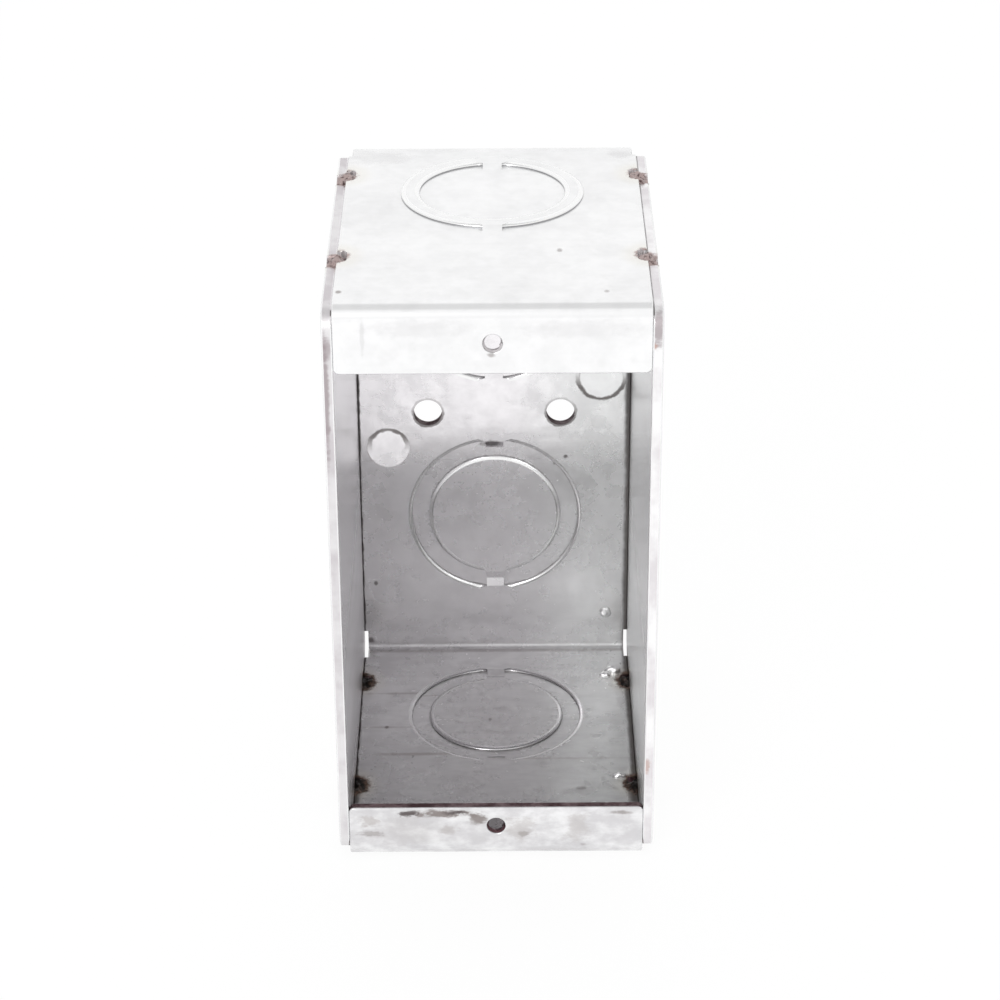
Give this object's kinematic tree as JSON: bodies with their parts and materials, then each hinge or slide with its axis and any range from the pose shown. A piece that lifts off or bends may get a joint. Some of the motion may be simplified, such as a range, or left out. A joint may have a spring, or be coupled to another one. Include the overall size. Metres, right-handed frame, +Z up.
{
  "type": "gang box",
  "caption": "Deep sheet-steel wiring box, open in front between drilled lips, with concentric knockouts and tack-welded side plates, built into a wall to carry a switch or outlet.",
  "frame": {"origin": "under the middle of the box, level with the lowest face, the ring of the bottom knockout", "axes": "+Z up along the height, -Y out of the open front, X across the width"},
  "size_m": [0.0492, 0.0644, 0.0962],
  "materials": {
    "galvanised_sheet": "zinc coated, satin",
    "weld_metal": "burnt by welding"
  },
  "bodies": {
    "root": {"folded_body": "galvanised_sheet", "left_side_plate": "galvanised_sheet", "right_side_plate": "galvanised_sheet", "tack_welds": "weld_metal"}
  },
  "joints": []
}
